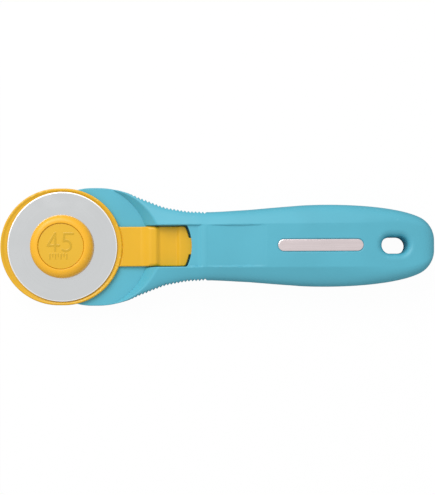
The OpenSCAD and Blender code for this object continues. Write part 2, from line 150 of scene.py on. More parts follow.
def netMesh(gap, axes):
    # skin of the solid where gap(x, y, z) is below 0, sampled on a grid and drawn onto the surface
    passes, probe, leastSlope, evening, longest = 3, 0.01, 0.05, 0.5, 0.5
    axes = [np.asarray(a, float) for a in axes]
    shape = tuple(len(a) for a in axes)
    gx, gy, gz = axes
    value = np.broadcast_to(gap(gx[:, None, None], gy[None, :, None], gz[None, None, :]), shape)
    inside = value < 0
    corners = [inside[i:shape[0] - 1 + i, j:shape[1] - 1 + j, k:shape[2] - 1 + k]
               for i in (0, 1) for j in (0, 1) for k in (0, 1)]
    total = sum(c.astype(np.int8) for c in corners)
    mixed = (total > 0) & (total < 8)
    cells = np.argwhere(mixed)
    number = np.full(mixed.shape, -1)
    number[mixed] = np.arange(len(cells))
    points = np.zeros((len(cells), 3))
    crossings = np.zeros(len(cells))
    for a in range(3):
        b, c = (a + 1) % 3, (a + 2) % 3
        for ob in (0, 1):
            for oc in (0, 1):
                start = cells.copy()
                start[:, b] += ob
                start[:, c] += oc
                end = start.copy()
                end[:, a] += 1
                v0, v1 = value[tuple(start.T)], value[tuple(end.T)]
                hit = (v0 < 0) != (v1 < 0)
                t = np.where(hit, v0 / np.where(hit, v0 - v1, 1), 0)
                for d in range(3):
                    p0, p1 = axes[d][start[:, d]], axes[d][end[:, d]]
                    points[:, d] += np.where(hit, p0 + t * (p1 - p0), 0)
                crossings += hit
    points /= crossings[:, None]
    quads = []
    for a in range(3):
        b, c = (a + 1) % 3, (a + 2) % 3
        here = np.moveaxis(inside, (a, b, c), (0, 1, 2))
        turned = np.moveaxis(number, (a, b, c), (0, 1, 2))
        flip = here[:-1, 1:-1, 1:-1] != here[1:, 1:-1, 1:-1]
        i, j, k = np.nonzero(flip)
        around = ((0, 0), (1, 0), (1, 1), (0, 1))
        ring = np.stack([turned[i, j + dj, k + dk] for dj, dk in around], 1)
        outward = here[i, j + 1, k + 1]
        quads.append(np.where(outward[:, None], ring, ring[:, ::-1]))
    quads = np.concatenate(quads)
    room = longest * min(np.diff(a).min() for a in axes)     # the longest move, in cells
    edges = np.concatenate([quads[:, [n, (n + 1) % 4]] for n in range(4)])
    ends = np.bincount(edges[:, 0], minlength=len(points))
    for n in range(passes):
        if n == 1:                      # one evening-out between the draws onto the surface
            mean = np.stack([np.bincount(edges[:, 0], points[edges[:, 1], d], len(points))
                             for d in range(3)], 1)
            points = mix(points, mean / np.maximum(ends, 1)[:, None], evening)
        away = gap(*points.T)
        slope = np.stack([(gap(*(points + nudge).T) - gap(*(points - nudge).T)) / (2 * probe)
                          for nudge in probe * np.eye(3)], 1)
        move = -away[:, None] * slope / np.maximum((slope ** 2).sum(1), leastSlope)[:, None]
        size = np.linalg.norm(move, axis=1)
        points = points + move * np.minimum(1, room / np.maximum(size, tiny))[:, None]
    return points, quads.tolist()


def steps(start, stop, size):
    # grid lines; the pieces' settings hold the two ends and the size of a cell
    return np.arange(start, stop + size, size)


def stepsAround(low, high, below, above, size):
    # the same from two bounds; the settings hold the margins and the size of a cell
    return steps(low - below, high + above, size)


def lathe(profile, segments):
    # solid turned about the axle from [radius, height] points, from the bottom middle outward
    points, rings = [], []
    angle = np.linspace(0, 2 * np.pi, segments, endpoint=False)
    for r, z in profile:
        if r < tiny:
            rings.append([len(points)] * segments)
            points.append((0, 0, z))
        else:
            rings.append(list(range(len(points), len(points) + segments)))
            ring = np.stack([r * np.cos(angle), r * np.sin(angle), np.full(segments, z)], 1)
            points.extend(ring.tolist())
    faces = []
    closed = profile[0][0] > tiny and profile[-1][0] > tiny
    pairs = list(zip(rings, rings[1:])) + ([(rings[-1], rings[0])] if closed else [])
    for lower, upper in pairs:
        for n in range(segments):
            m = (n + 1) % segments
            face = [lower[n], lower[m], upper[m], upper[n]]
            faces.append([v for i, v in enumerate(face) if v != face[i - 1]])
    return np.array(points), faces


def bend(radius, start, stop, count, cx, cz):
    # points on an arc of a profile, angles in degrees
    a = np.radians(np.linspace(start, stop, count))
    return [(cx + radius * np.cos(t), cz + radius * np.sin(t)) for t in a]


def stack(loops):
    # solid through closed outlines of equal count, lowest first, closed by a face at each end
    n = len(loops[0])
    points = np.concatenate([np.asarray(q, float) for q in loops])
    faces = [list(range(n))[::-1], list(range((len(loops) - 1) * n, len(loops) * n))]
    for s in range(len(loops) - 1):
        for i in range(n):
            j = (i + 1) % n
            faces.append([s * n + i, s * n + j, (s + 1) * n + j, (s + 1) * n + i])
    return points, faces


def joined(parts):
    # several solids as one mesh
    points, faces, start = [], [], 0
    for p, f in parts:
        points.append(np.asarray(p, float))
        faces.extend([[v + start for v in face] for face in f])
        start += len(p)
    return np.concatenate(points), faces


def dress(piece, body, materials, solid):
    # hands a finished piece to its body and its materials, and hides the solid it stands for
    for material in materials:
        piece.data.materials.append(material)
    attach(piece, body)
    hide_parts(solid)
    print("made", piece.name, len(piece.data.polygons))


# finishes

def feed(tree, socket, value):
    # links an output to a socket, or sets the socket to a plain value
    if isinstance(value, bpy.types.NodeSocket):
        tree.links.new(value, socket)
    else:
        socket.default_value = value


def newGroup(name, inputs):
    tree = bpy.data.node_groups.new(name, "ShaderNodeTree")
    for label, kind, value in inputs:
        socket = tree.interface.new_socket(label, in_out="INPUT", socket_type=kind)
        socket.default_value = value
    for label, kind in (("Colour", "NodeSocketColor"), ("Roughness", "NodeSocketFloat"),
                        ("Height", "NodeSocketFloat")):
        tree.interface.new_socket(label, in_out="OUTPUT", socket_type=kind)
    return tree, tree.nodes.new("NodeGroupInput"), tree.nodes.new("NodeGroupOutput")


def node(tree, kind, links=None, **settings):
    made = tree.nodes.new(kind)
    for key, value in settings.items():
        setattr(made, key, value)
    for key, value in (links or {}).items():
        feed(tree, made.inputs[key], value)
    return made


def sums(tree, kind, a, b):
    return node(tree, "ShaderNodeMath", {0: a, 1: b}, operation=kind).outputs[0]


def vectorSums(tree, kind, *values):
    made = node(tree, "ShaderNodeVectorMath", dict(enumerate(values)), operation=kind)
    return made.outputs["Value" if kind == "LENGTH" else "Vector"]


def blendColour(tree, factor, a, b, kind="MIX"):
    made = node(tree, "ShaderNodeMix", {0: factor, 6: a, 7: b}, data_type="RGBA", blend_type=kind)
    return made.outputs[2]


def remap(tree, value, low, high, toLow, toHigh):
    ends = {0: value, 1: low, 2: high, 3: toLow, 4: toHigh}
    return node(tree, "ShaderNodeMapRange", ends).outputs[0]


def noise(tree, place, scale, detail):
    return node(tree, "ShaderNodeTexNoise",
                {"Vector": place, "Scale": scale, "Detail": detail}).outputs[0]


# noise scales per metre, bands that a noise's values mostly lie in, bump depths in metres
mouldedSet = dict(grainDetail=3.0, clouds=55.0, cloudDetail=2.0, cloudBand=(0.3, 0.7),
                  bent=(0.53, 0.62), tint=(0.97, 1.03), swing=(-0.04, 0.04), deep=0.00003)
brushedSet = dict(along=(60, 5000, 5000), round=(1.2, 1.2, 0), rings=4500.0, lineDetail=2.0,
                  lineBand=(0.25, 0.75), clouds=90.0, cloudDetail=2.0, cloudBand=(0.3, 0.7),
                  swing=(-0.05, 0.05), deep=0.00001)


def mouldedSkin():
    # moulded plastic: spark-eroded grain, faint clouds of colour, and convex edges tinted towards
    # the edge colour as painted light
    m = mouldedSet
    tree, into, out = newGroup("mouldedSkin", [
        ("Colour", "NodeSocketColor", (0.5, 0.5, 0.5, 1)),
        ("Painted Edge Colour", "NodeSocketColor", (0.8, 0.8, 0.8, 1)),
        ("Painted Edge Share", "NodeSocketFloat", 0.3), ("Grain", "NodeSocketFloat", 3000),
        ("Roughness", "NodeSocketFloat", 0.4)])
    place = node(tree, "ShaderNodeTexCoord").outputs["Object"]
    grain = noise(tree, place, into.outputs["Grain"], m["grainDetail"])
    cloud = noise(tree, place, m["clouds"], m["cloudDetail"])
    # painted light: convex edges, found by Pointiness, take the edge colour in the given share, a
    # painted highlight where it is lighter
    bent = node(tree, "ShaderNodeNewGeometry").outputs["Pointiness"]
    edge = remap(tree, bent, *m["bent"], 0.0, 1.0)
    tint = remap(tree, cloud, *m["cloudBand"], *m["tint"])
    tinted = blendColour(tree, 1.0, into.outputs["Colour"], tint, "MULTIPLY")
    paintedEdge = sums(tree, "MULTIPLY", edge, into.outputs["Painted Edge Share"])
    shown = blendColour(tree, paintedEdge, tinted, into.outputs["Painted Edge Colour"])
    tree.links.new(shown, out.inputs["Colour"])
    swing = remap(tree, cloud, *m["cloudBand"], *m["swing"])
    tree.links.new(sums(tree, "ADD", into.outputs["Roughness"], swing), out.inputs["Roughness"])
    tree.links.new(grain, out.inputs["Height"])
    return tree


def brushedSkin():
    # metal brushed along X, or round the axle where Turned is 1
    b = brushedSet
    tree, into, out = newGroup("brushedSkin", [
        ("Colour", "NodeSocketColor", (0.6, 0.6, 0.6, 1)), ("Turned", "NodeSocketFloat", 0.0),
        ("Contrast", "NodeSocketFloat", 0.1), ("Roughness", "NodeSocketFloat", 0.3)])
    place = node(tree, "ShaderNodeTexCoord").outputs["Object"]
    straight = vectorSums(tree, "MULTIPLY", place, b["along"])
    parts = node(tree, "ShaderNodeSeparateXYZ", {0: place}).outputs
    flat = node(tree, "ShaderNodeCombineXYZ", {0: parts[0], 1: parts[1]}).outputs[0]
    radius = vectorSums(tree, "LENGTH", flat)
    spread = vectorSums(tree, "MULTIPLY", vectorSums(tree, "NORMALIZE", place), b["round"])
    rings = sums(tree, "MULTIPLY", radius, b["rings"])
    lifted = node(tree, "ShaderNodeCombineXYZ", {2: rings}).outputs[0]
    circling = vectorSums(tree, "ADD", spread, lifted)
    either = node(tree, "ShaderNodeMix", {0: into.outputs["Turned"], 4: straight, 5: circling},
                  data_type="VECTOR").outputs[1]
    lines = noise(tree, either, 1.0, b["lineDetail"])
    cloud = noise(tree, place, b["clouds"], b["cloudDetail"])
    signed = remap(tree, lines, *b["lineBand"], -1.0, 1.0)
    shade = sums(tree, "ADD", sums(tree, "MULTIPLY", signed, into.outputs["Contrast"]), 1.0)
    shown = blendColour(tree, 1.0, into.outputs["Colour"], shade, "MULTIPLY")
    tree.links.new(shown, out.inputs["Colour"])
    swing = remap(tree, cloud, *b["cloudBand"], *b["swing"])
    tree.links.new(sums(tree, "ADD", into.outputs["Roughness"], swing), out.inputs["Roughness"])
    tree.links.new(lines, out.inputs["Height"])
    return tree


moulded = mouldedSkin()
brushed = brushedSkin()


def finish(name, group, bump, deep, sockets, metallic=0.0):
    material = bpy.data.materials.new(name)
    material.use_nodes = True
    tree = material.node_tree
    skin = node(tree, "ShaderNodeGroup", sockets, node_tree=group)
    main = tree.nodes["Principled BSDF"]
    main.inputs["Metallic"].default_value = metallic
    bumped = node(tree, "ShaderNodeBump",
                  {"Height": skin.outputs["Height"], "Strength": bump, "Distance": deep})
    tree.links.new(skin.outputs["Colour"], main.inputs["Base Color"])
    tree.links.new(skin.outputs["Roughness"], main.inputs["Roughness"])
    tree.links.new(bumped.outputs[0], main.inputs["Normal"])
    return material


def plastic(name, body, edge, rough, paintedEdgeShare, grain=3000.0, bump=0.25):
    # edge is a painted edge colour for convex edges, lighter for a painted highlight and darker
    # for painted shade; the number after rough is its share
    return finish(name, moulded, bump, mouldedSet["deep"], {
        "Colour": colour(*body), "Painted Edge Colour": colour(*edge), "Painted Edge Share": paintedEdgeShare,
        "Grain": grain, "Roughness": rough})


def metal(name, body, rough, turned=0.0, contrast=0.08, bump=0.15):
    return finish(name, brushed, bump, brushedSet["deep"], {
        "Colour": colour(*body), "Turned": turned, "Contrast": contrast, "Roughness": rough}, 1.0)


# edge colours paint light on convex edges: the lighter ones are painted highlights, the cap's
# darker one is painted shade round its numerals and rim
handleBlue = plastic("handleBlue", (84, 175, 196), (140, 204, 222), 0.46, 0.15)
guardYellow = plastic("guardYellow", (228, 174, 16), (252, 222, 120), 0.34, 0.45, 2500.0, 0.15)
knobYellow = plastic("knobYellow", (242, 178, 26), (252, 214, 110), 0.38, 0.2, 2500.0, 0.15)
capYellow = plastic("capYellow", (226, 176, 30), (206, 158, 34), 0.42, 0.2, 4000.0, 0.3)
# a darker yellow for the numerals' tops: painted shade that stands for their relief
paintedShadeMark = plastic("paintedShadeMark", (206, 162, 20), (226, 182, 60), 0.36, 0.2, 4000.0, 0.2)
bladeSteel = metal("bladeSteel", (203, 205, 206), 0.14, turned=1.0, contrast=0.02, bump=0.08)
# the ground edge band: rougher for its grinding, and lighter than the face as a painted highlight
# for the bright line along the bevel
edgeSteelPaintedGlint = metal("edgeSteelPaintedGlint", (222, 222, 221), 0.5, turned=1.0, contrast=0.02)
plateSteel = metal("plateSteel", (208, 196, 197), 0.28, contrast=0.06)
boltSteel = metal("boltSteel", (176, 178, 182), 0.36, turned=1.0)
screwSteel = metal("screwSteel", (186, 188, 192), 0.34)
springSteel = metal("springSteel", (160, 164, 170), 0.4, turned=1.0)
insertBrass = metal("insertBrass", (208, 178, 112), 0.36, turned=1.0)
print("finishes made")


# blade, ground from both sides to a finer edge

bladeLow, bladeHigh = span("blade")
blade = dict(r=bladeHigh[1], hole=4.0, ground=1.15, edge=0.4, slope=0.02, burr=0.02,
             rounding=0.04, segments=256, smooth=2)


def bladeSide(face, inward):
    # one side from the hole to the edge; inward is the way to the middle of the thickness
    b = blade
    middle = (bladeLow[2] + bladeHigh[2]) / 2
    return [(b["hole"], face + inward * b["rounding"]), (b["hole"] + b["rounding"], face),
            (b["r"] - b["ground"], face), (b["r"] - b["edge"], face + inward * b["slope"]),
            (b["r"], middle - inward * b["burr"])]


bladeProfile = bladeSide(bladeLow[2], 1) + bladeSide(bladeHigh[2], -1)[::-1]
bladePiece = addMesh("blade", *lathe(bladeProfile, blade["segments"]), blade["smooth"])
# faces in the outer edge band take the lighter steel, a painted highlight along the ground edge
for face in bladePiece.data.polygons:
    out = np.hypot(face.center.x, face.center.y) / mm
    face.material_index = int(out > blade["r"] - blade["edge"])
dress(bladePiece, "blade", (bladeSteel, edgeSteelPaintedGlint), "blade")


# knob, bored for the bolt's head, and the disc set into it with its plain number

knobLow, knobHigh = span("knob")
capLow, capHigh = span("knob_cap")
boltLow, boltHigh = span("axle_bolt")
bolt = dict(headTall=2.4, headR=5.5, footIn=0.25, footUp=0.18, crownIn=0.5, crownDown=0.3,
            shoulder=3.95, edge=0.1, ledge=0.02, neck=3.2, neckLow=4, neckHigh=1.9, flat=2.5,
            thread=2.5, pitch=0.8, root=0.3, threadFrom=0.3, threadEnd=0.05, threadStep=0.1,
            tip=0.5, tipIn=0.1, tipUp=0.22, segments=192, smooth=30)
knob = dict(r=knobHigh[1], foot=0.5, footIn=0.12, footUp=0.14, shoulder=2.9, lip=0.3,
            seat=capHigh[1] + 0.06, seatDeep=0.03, well=5.55, wellDeep=0.05, bore=4.05,
            shoulderSteps=20, lipSteps=6, segments=224, smooth=35)


def knobShape():
    k = knob
    base, rim, seatZ = knobLow[2], knobHigh[2], capLow[2] - k["seatDeep"]
    wellZ = boltHigh[2] - bolt["headTall"] - k["wellDeep"]
    foot = [(k["bore"], base), (k["r"] - k["foot"], base),
            (k["r"] - k["footIn"], base + k["footUp"]), (k["r"], base + k["foot"])]
    shoulder = bend(k["shoulder"], 0, 90, k["shoulderSteps"],
                    k["r"] - k["shoulder"], rim - k["shoulder"])
    lip = bend(k["lip"], 90, 180, k["lipSteps"], k["seat"] + k["lip"], rim - k["lip"])
    seat = [(k["seat"], seatZ), (k["well"], seatZ), (k["well"], wellZ), (k["bore"], wellZ)]
    return lathe(foot + shoulder + lip + seat, k["segments"])


knobPiece = addMesh("knob", *knobShape(), knob["smooth"])
dress(knobPiece, "handle", (knobYellow,), "knob")

cap = dict(under=0.01, slack=0.02, edge=0.25, markEdge=0.06, markDeep=0.5, markIn=0.02,
           markTall=0.3, side=(-9.6, 9.6, 0.14), tall=(0.15, 0.2, 0.1), smooth=50)
numerals = dict(four=[(-2.3, -1.7), (-2.3, 5.3), (-5.3, 0.3), (-0.7, 0.3)],
                five=[(4.9, 5.1), (1.4, 5.1), (1.12, 2.1)], bowl=(2.1, 112, -130, 16, 2.0, 0.2),
                lift=0.1, pen=0.45, tickPen=0.24, tickX=-4.5, tickY=-3.1, tickStep=1.15, ticks=7,
                tickLong=2.0, tickShort=1.1)


def numeralGap(x, y):
    # the blade's size, 45, over a plain row of ticks
    n = numerals
    five = n["five"] + bend(*n["bowl"])
    gap = np.minimum(strokeGap(x, y, n["four"], n["pen"]), strokeGap(x, y, five, n["pen"]))
    for i in range(n["ticks"]):
        tx = n["tickX"] + n["tickStep"] * i
        tall = n["tickShort"] if i % 2 else n["tickLong"]
        tick = [(tx, n["tickY"]), (tx, n["tickY"] - tall)]
        gap = np.minimum(gap, strokeGap(x, y, tick, n["tickPen"]))
    return gap


def capGap(x, y, z):
    top = capHigh[2] - cap["under"]
    disc = roundMax(np.hypot(x, y) - capHigh[1] + cap["slack"], z - top + numerals["lift"],
                    cap["edge"])
    disc = np.maximum(disc, capLow[2] - z)
    marks = roundMax(numeralGap(x, y), z - top, cap["markEdge"])
    return np.minimum(disc, np.maximum(marks, top - cap["markDeep"] - z))


capPiece = addMesh("knobCap", *netMesh(capGap, (
    steps(*cap["side"]), steps(*cap["side"]),
    stepsAround(capLow[2], capHigh[2], *cap["tall"]))), cap["smooth"])
# the numerals' top faces take the darker yellow, painted shade on the raised marks
for face in capPiece.data.polygons:
    marked = numeralGap(face.center.x / mm, face.center.y / mm) < -cap["markIn"]
    face.material_index = int(marked and face.center.z / mm > capHigh[2] - cap["markTall"])
dress(capPiece, "handle", (capYellow, paintedShadeMark), "knob_cap")


# axle bolt: hexagon head, round shoulder, neck with two flats in the head plate, thread

backHigh = span("handle_back_shell")[1]


def boltShape():
    b = bolt
    low, high = boltLow[2], boltHigh[2]
    neckLow, neckHigh = backHigh[2] - b["neckLow"], backHigh[2] - b["neckHigh"]
    headZ = high - b["headTall"]
    tip = [(0, low), (b["thread"] - b["tip"], low), (b["thread"] - b["tipIn"], low + b["tipUp"])]
    thread = [(b["thread"], z) for z in np.arange(low + b["threadFrom"], neckLow, b["threadStep"])]
    neck = [(b["neck"], neckLow), (b["neck"], neckHigh - b["ledge"])]
    shoulder = [(b["shoulder"] - b["edge"], neckHigh), (b["shoulder"], neckHigh + b["edge"]),
                (b["shoulder"], headZ - b["ledge"])]
    head = [(b["headR"] - b["footIn"], headZ), (b["headR"], headZ + b["footUp"]),
            (b["headR"], high - b["crownDown"]), (b["headR"] - b["crownIn"], high), (0, high)]
    points, faces = lathe(tip + thread + neck + shoulder + head, b["segments"])
    x, y, z = points.T
    r, turn = np.hypot(x, y), np.arctan2(y, x)
    threaded = (z > low + b["tipUp"]) & (z < neckLow - b["threadEnd"])
    r = np.where(threaded, r - b["root"] * helix(x, y, z, b["pitch"]), r)
    away = np.degrees(turn) % 60 - 30
    flatR = b["headR"] * np.cos(np.radians(30)) / np.cos(np.radians(away))
    r = np.where(z >= headZ, np.minimum(r, flatR), r)
    y = r * np.sin(turn)
    y = np.where((z >= neckLow) & (z < neckHigh), np.clip(y, -b["flat"], b["flat"]), y)
    return np.stack([r * np.cos(turn), y, z], 1), faces


boltPiece = addMesh("axleBolt", *boltShape(), bolt["smooth"])
dress(boltPiece, "handle", (boltSteel,), "axle_bolt")


# spring washer: a ring bowed about a line along Y

washerLow, washerHigh = span("spring_washer")
washer = dict(r=washerHigh[1], hole=3.5, thick=0.3, rounding=0.06, segments=144, smooth=35)


def washerShape():
    w = washer
    low, high, e = washerLow[2], washerLow[2] + w["thick"], w["rounding"]
    profile = [(w["hole"], low + e), (w["hole"] + e, low), (w["r"] - e, low), (w["r"], low + e),
               (w["r"], high - e), (w["r"] - e, high), (w["hole"] + e, high),
               (w["hole"], high - e)]
    points, faces = lathe(profile, w["segments"])
    bow = washerHigh[2] - washerLow[2] - w["thick"]
    points[:, 2] += bow * (1 - (points[:, 0] / w["r"]) ** 2)
    return points, faces


washerPiece = addMesh("springWasher", *washerShape(), washer["smooth"])
dress(washerPiece, "washer", (springSteel,), "spring_washer")


# nut: a dished wheel with finger scallops and a grip bar, moulded round its threaded insert

nutLow, nutHigh = span("nut")
insertLow, insertHigh = span("nut_insert")
nut = dict(r=9.5, scallops=12, scallopR=1.9, scallopAt=10.7, scallopEdge=0.35, lowEdge=0.45,
           topEdge=0.2, dishR=7.7, dishDeep=1.386, dishSag=0.25, dishFoot=0.3, dishEdge=0.25,
           bar=1.6, hub=5.62, wallEdge=0.2, bore=3.0, boreEdge=0.15,
           side=(-9.8, 9.8, 0.17), tall=(0.3, 0.3, 0.15), smooth=50)
insert = dict(half=insertHigh[1], slack=0.01, edge=0.1, bore=2.56, pitch=0.8, groove=0.2,
              long=(-4.9, 4.9, 0.12), wide=(-4.3, 4.3, 0.12), tall=(0.2, 0.2, 0.12), smooth=40)


def nutGap(x, y, z):
    n = nut
    r = np.hypot(x, y)
    part = 2 * np.pi / n["scallops"]
    turn = np.mod(np.arctan2(y, x) + part / 2, part) - part / 2
    notch = np.hypot(r * np.cos(turn) - n["scallopAt"], r * np.sin(turn)) - n["scallopR"]
    gap = roundMax(r - n["r"], -notch, n["scallopEdge"])
    gap = roundMax(gap, nutLow[2] - z, n["lowEdge"])
    gap = roundMax(gap, z - nutHigh[2], n["topEdge"])
    floorZ = nutLow[2] + n["dishDeep"] - n["dishSag"] * (r / n["dishR"]) ** 2
    dish = roundMax(r - n["dishR"], z - floorZ, n["dishFoot"])
    dish = roundMax(dish, n["hub"] - r, n["wallEdge"])
    dish = roundMax(dish, n["bar"] - np.abs(y), n["wallEdge"])
    gap = roundMax(gap, -dish, n["dishEdge"])
    gap = roundMax(gap, n["bore"] - r, n["boreEdge"])
    seat = np.maximum(hexGap(x, y, insert["half"]), insertLow[2] - z)
    return np.maximum(gap, -seat)


nutPiece = addMesh("nut", *netMesh(nutGap, (
    steps(*nut["side"]), steps(*nut["side"]),
    stepsAround(nutLow[2], nutHigh[2], *nut["tall"]))), nut["smooth"])
dress(nutPiece, "nut", (guardYellow,), "nut")


def insertGap(x, y, z):
    i = insert
    outside = roundMax(hexGap(x, y, i["half"] - i["slack"]), insertLow[2] - z, i["edge"])
    outside = np.maximum(outside, z - insertHigh[2])
    bore = i["bore"] + i["groove"] * helix(x, y, z, i["pitch"]) - np.hypot(x, y)
    return np.maximum(outside, bore)


insertPiece = addMesh("nutInsert", *netMesh(insertGap, (
    steps(*insert["long"]), steps(*insert["wide"]),
    stepsAround(insertLow[2], insertHigh[2], *insert["tall"]))), insert["smooth"])
dress(insertPiece, "nut", (insertBrass,), "nut_insert")


# shell screws, driven in from the back: pan heads with a cross recess, tapping threads

screw = dict(head=2.1, headTall=1.4, headRound=0.5, headEdge=0.12, crossLong=1.15, crossWide=0.3,
             crossDeep=0.75, crossTaper=0.35, crossEdge=0.08, shank=1.1, shankFrom=0.9, core=0.78,
             pitch=1.0, tip=0.42, tipSlope=0.6, side=(-2.3, 2.3, 0.1), tall=(0.2, 0.2, 0.11),
             smooth=40)
screwEnds = [span("shell_screws_front"), span("shell_screws_rear")]
screwAt = [((low[0] + high[0]) / 2, high[1] - screw["head"]) for low, high in screwEnds]


def screwMesh(tall):
    s = screw

    def gap(x, y, z):
        r = np.hypot(x, y)
        head = roundMax(roundMax(r - s["head"], -z, s["headRound"]), z - s["headTall"],
                        s["headEdge"])
        ax, ay = np.abs(x), np.abs(y)
        cross = np.minimum(np.maximum(ax - s["crossLong"], ay - s["crossWide"]),
                           np.maximum(ay - s["crossLong"], ax - s["crossWide"]))
        cross = np.maximum(cross, z - s["crossDeep"] + s["crossTaper"] * r)
        head = roundMax(head, -cross, s["crossEdge"])
        crest = 1 - helix(x, y, z, s["pitch"])
        width = np.minimum(s["core"] + (s["shank"] - s["core"]) * crest ** 2,
                           s["tip"] + s["tipSlope"] * (tall - z))
        shank = np.maximum(np.maximum(r - width, z - tall), -z + s["shankFrom"])
        return np.minimum(head, shank)

    return netMesh(gap, (steps(*s["side"]), steps(*s["side"]), stepsAround(0, tall, *s["tall"])))


for name, solid, ends, at in zip(("shellScrewsFront", "shellScrewsRear"),
                                 ("shell_screws_front", "shell_screws_rear"), screwEnds, screwAt):
    points, faces = screwMesh(ends[1][2] - ends[0][2])
    pair = [(points + (at[0], side * at[1], ends[0][2]), faces) for side in (-1, 1)]
    screwPiece = addMesh(name, *joined(pair), screw["smooth"])
    dress(screwPiece, "handle", (screwSteel,), solid)
print("axle and fasteners made")


# blade guard: disc with a raised bead, tongue with its thumb ridge, and a guide finger

guardLow, guardHigh = span("blade_guard")
guardZ = guardLow[2]
guard = dict(r=guardHigh[1], heel=0.6, thick=1.65, crest=0.55, shelf=0.4, shelfLong=1.2,
             topEdge=0.5, lowEdge=0.2, slotR=4.15, travel=10.0, landR=8.0,
             grooveIn=0.22, grooveHalf=0.2, grooveDeep=0.62, grooveEdge=0.08, weld=0.05,
             long=(0.4, 0.4, 0.25), wide=(-24.4, 24.4, 0.25), tall=(0.36, 0.4, 0.2), smooth=50)
tongue = dict(half=8.15, r=18.3, corner=0.7, edge=0.4, low=0.3, root=4, ridgeBack=3.45,
              ridgeHalf=0.7, ridgeRise=1.7, ridgeEdge=1.3, ridgeFrom=3, ridgeTo=1.2, ridgeBlend=2,
              riseLong=5.0, fallLong=2.3, fallShare=0.76, slowShare=0.24, slowTimes=3,
              hollow=0.35, lift=1.1, liftFrom=8.4, liftLong=1.9)
finger = dict(half=3.4, long=13.0, thick=1.4, root=2, corner=0.5, edge=0.1, side=0.15)
guardNose = guardLow[0] + guard["r"]
tongueEnd = guardHigh[0] - finger["long"]
tongueMiddle = tongueEnd - tongue["r"]
ridgeX = tongueMiddle + tongue["ridgeBack"]


def tongueTop(x):
    # up to the ridge, down behind it, first steeply and then slowly, and up again at the end
    t = tongue
    past = x - ridgeX - t["ridgeHalf"]
    fall = (t["fallShare"] * ease(past / t["fallLong"])
            + t["slowShare"] * ease(past / t["slowTimes"] / t["fallLong"]))
    return (guardZ + guard["thick"] - t["low"]
            + (t["ridgeRise"] + t["low"])
            * ease((x - ridgeX + t["ridgeHalf"] + t["riseLong"]) / t["riseLong"])
            - (t["ridgeRise"] - t["hollow"]) * fall
            + t["lift"] * ease((past - t["liftFrom"]) / t["liftLong"]))


def guardGap(x, y, z):
    g, t, f = guard, tongue, finger
    edge = pillGap(x, y, g["r"], guardNose, g["heel"])
    crestZ = guardZ + g["thick"]
    # the top falls from the bead inward to a shelf under the blade
    top = crestZ - g["shelf"] * ease((-edge - g["crest"]) / g["shelfLong"])
    disc = roundMax(roundMax(edge, z - top, g["topEdge"]), guardZ - z, g["lowEdge"])
    slot = pillGap(x, y, g["slotR"], -g["travel"], 0)
    land = np.maximum(pillGap(x, y, g["landR"], -g["travel"], 0),
                      np.maximum(z - crestZ, guardZ - z))
    disc = np.minimum(disc, land)
    past = np.hypot(np.maximum(x - tongueMiddle, 0), y) - t["r"]
    sides = roundMax(np.abs(y) - t["half"], past, t["corner"])
    fall = (tongueTop(x + slopeStep) - tongueTop(x - slopeStep)) / (2 * slopeStep)
    over = (z - tongueTop(x)) / np.sqrt(1 + fall ** 2)
    onRidge = (ease((x - ridgeX + t["ridgeFrom"]) / t["ridgeBlend"])
               * (1 - ease((x - ridgeX - t["ridgeTo"]) / t["ridgeBlend"])))
    body = roundMax(sides, over, mix(t["edge"], t["ridgeEdge"], onRidge))
    body = np.maximum(roundMax(body, guardZ - z, g["lowEdge"]), g["r"] - t["root"] - x)
    guideZ = tongueTop(guardHigh[0])
    guide = roundMax(np.abs(y) - f["half"],
                     np.maximum(x - guardHigh[0], tongueEnd - f["root"] - x), f["corner"])
    guide = roundMax(guide, roundMax(z - guideZ, guideZ - f["thick"] - z, f["edge"]), f["side"])
    gap = np.minimum(roundMin(disc, body, g["weld"]), guide)
    # a small groove parts the bead from the tongue
    groove = np.maximum(np.abs(edge - g["grooveIn"]) - g["grooveHalf"],
                        crestZ - g["grooveDeep"] - z)
    gap = roundMax(gap, -groove, g["grooveEdge"])
    return np.maximum(gap, -slot)


guardPiece = addMesh("bladeGuard", *netMesh(guardGap, (
    stepsAround(guardLow[0], guardHigh[0], *guard["long"]), steps(*guard["wide"]),
    stepsAround(guardZ, guardHigh[2], *guard["tall"]))), guard["smooth"])
dress(guardPiece, "guard", (guardYellow,), "blade_guard")


# handle: two shells with the same outline

plateLow, plateHigh = span("name_plate")
plateR, plateMiddle = plateHigh[1], (plateLow[0] + plateHigh[0]) / 2
plateHalf = (plateHigh[0] - plateLow[0]) / 2 - plateR
plateZ = backHigh[2]                    # level of the head plate and of the parting line

# X is counted from the axle; a pair is where a change starts and how long it takes
handle = dict(reach=backHigh[0], headX=12.0, headR=backHigh[1], headLeast=0.01, headFlat=2.5,
              neckX=55.0, neckW=27.8, bellyX=108.3, bellyW=33.6, tailPower=0.275, tuck=1.3,
              tuckLong=6, swell=0.5, swellFrom=(41, 7), swellTo=(55, 6), pinch=0.12,
              pinchFrom=(70, 8), pinchTo=(92, 8), rise=8.5, drop=2.2, archIn=9, tail=9.5,
              tailRound=3.2, plate=4.0, rampFrom=0.7, ramp=11.0, parting=0.01, seam=0.25)
section = dict(band=8.9, bandShare=0.62, footIn=2.2, footShare=0.7, front=(4.5, 0.3),
               frontSoft=(112, 26), back=(2.4, 0.16), leastW=0.1, leastH=0.05, leastSide=0.03)
shells = dict(side=(-24.8, 24.8, 0.3), frontFrom=18.5, frontTall=(0.45, 0.5, 0.28),
              backFrom=-12.8, backTall=(0.62, 0.5, 0.33), smooth=50,
              cells=((26.5, 0.25), (60.5, 0.2), (84, 0.35), (124, 0.4)),
              tailFrom=8, tailCell=0.35, endPast=0.7, endCell=0.28)
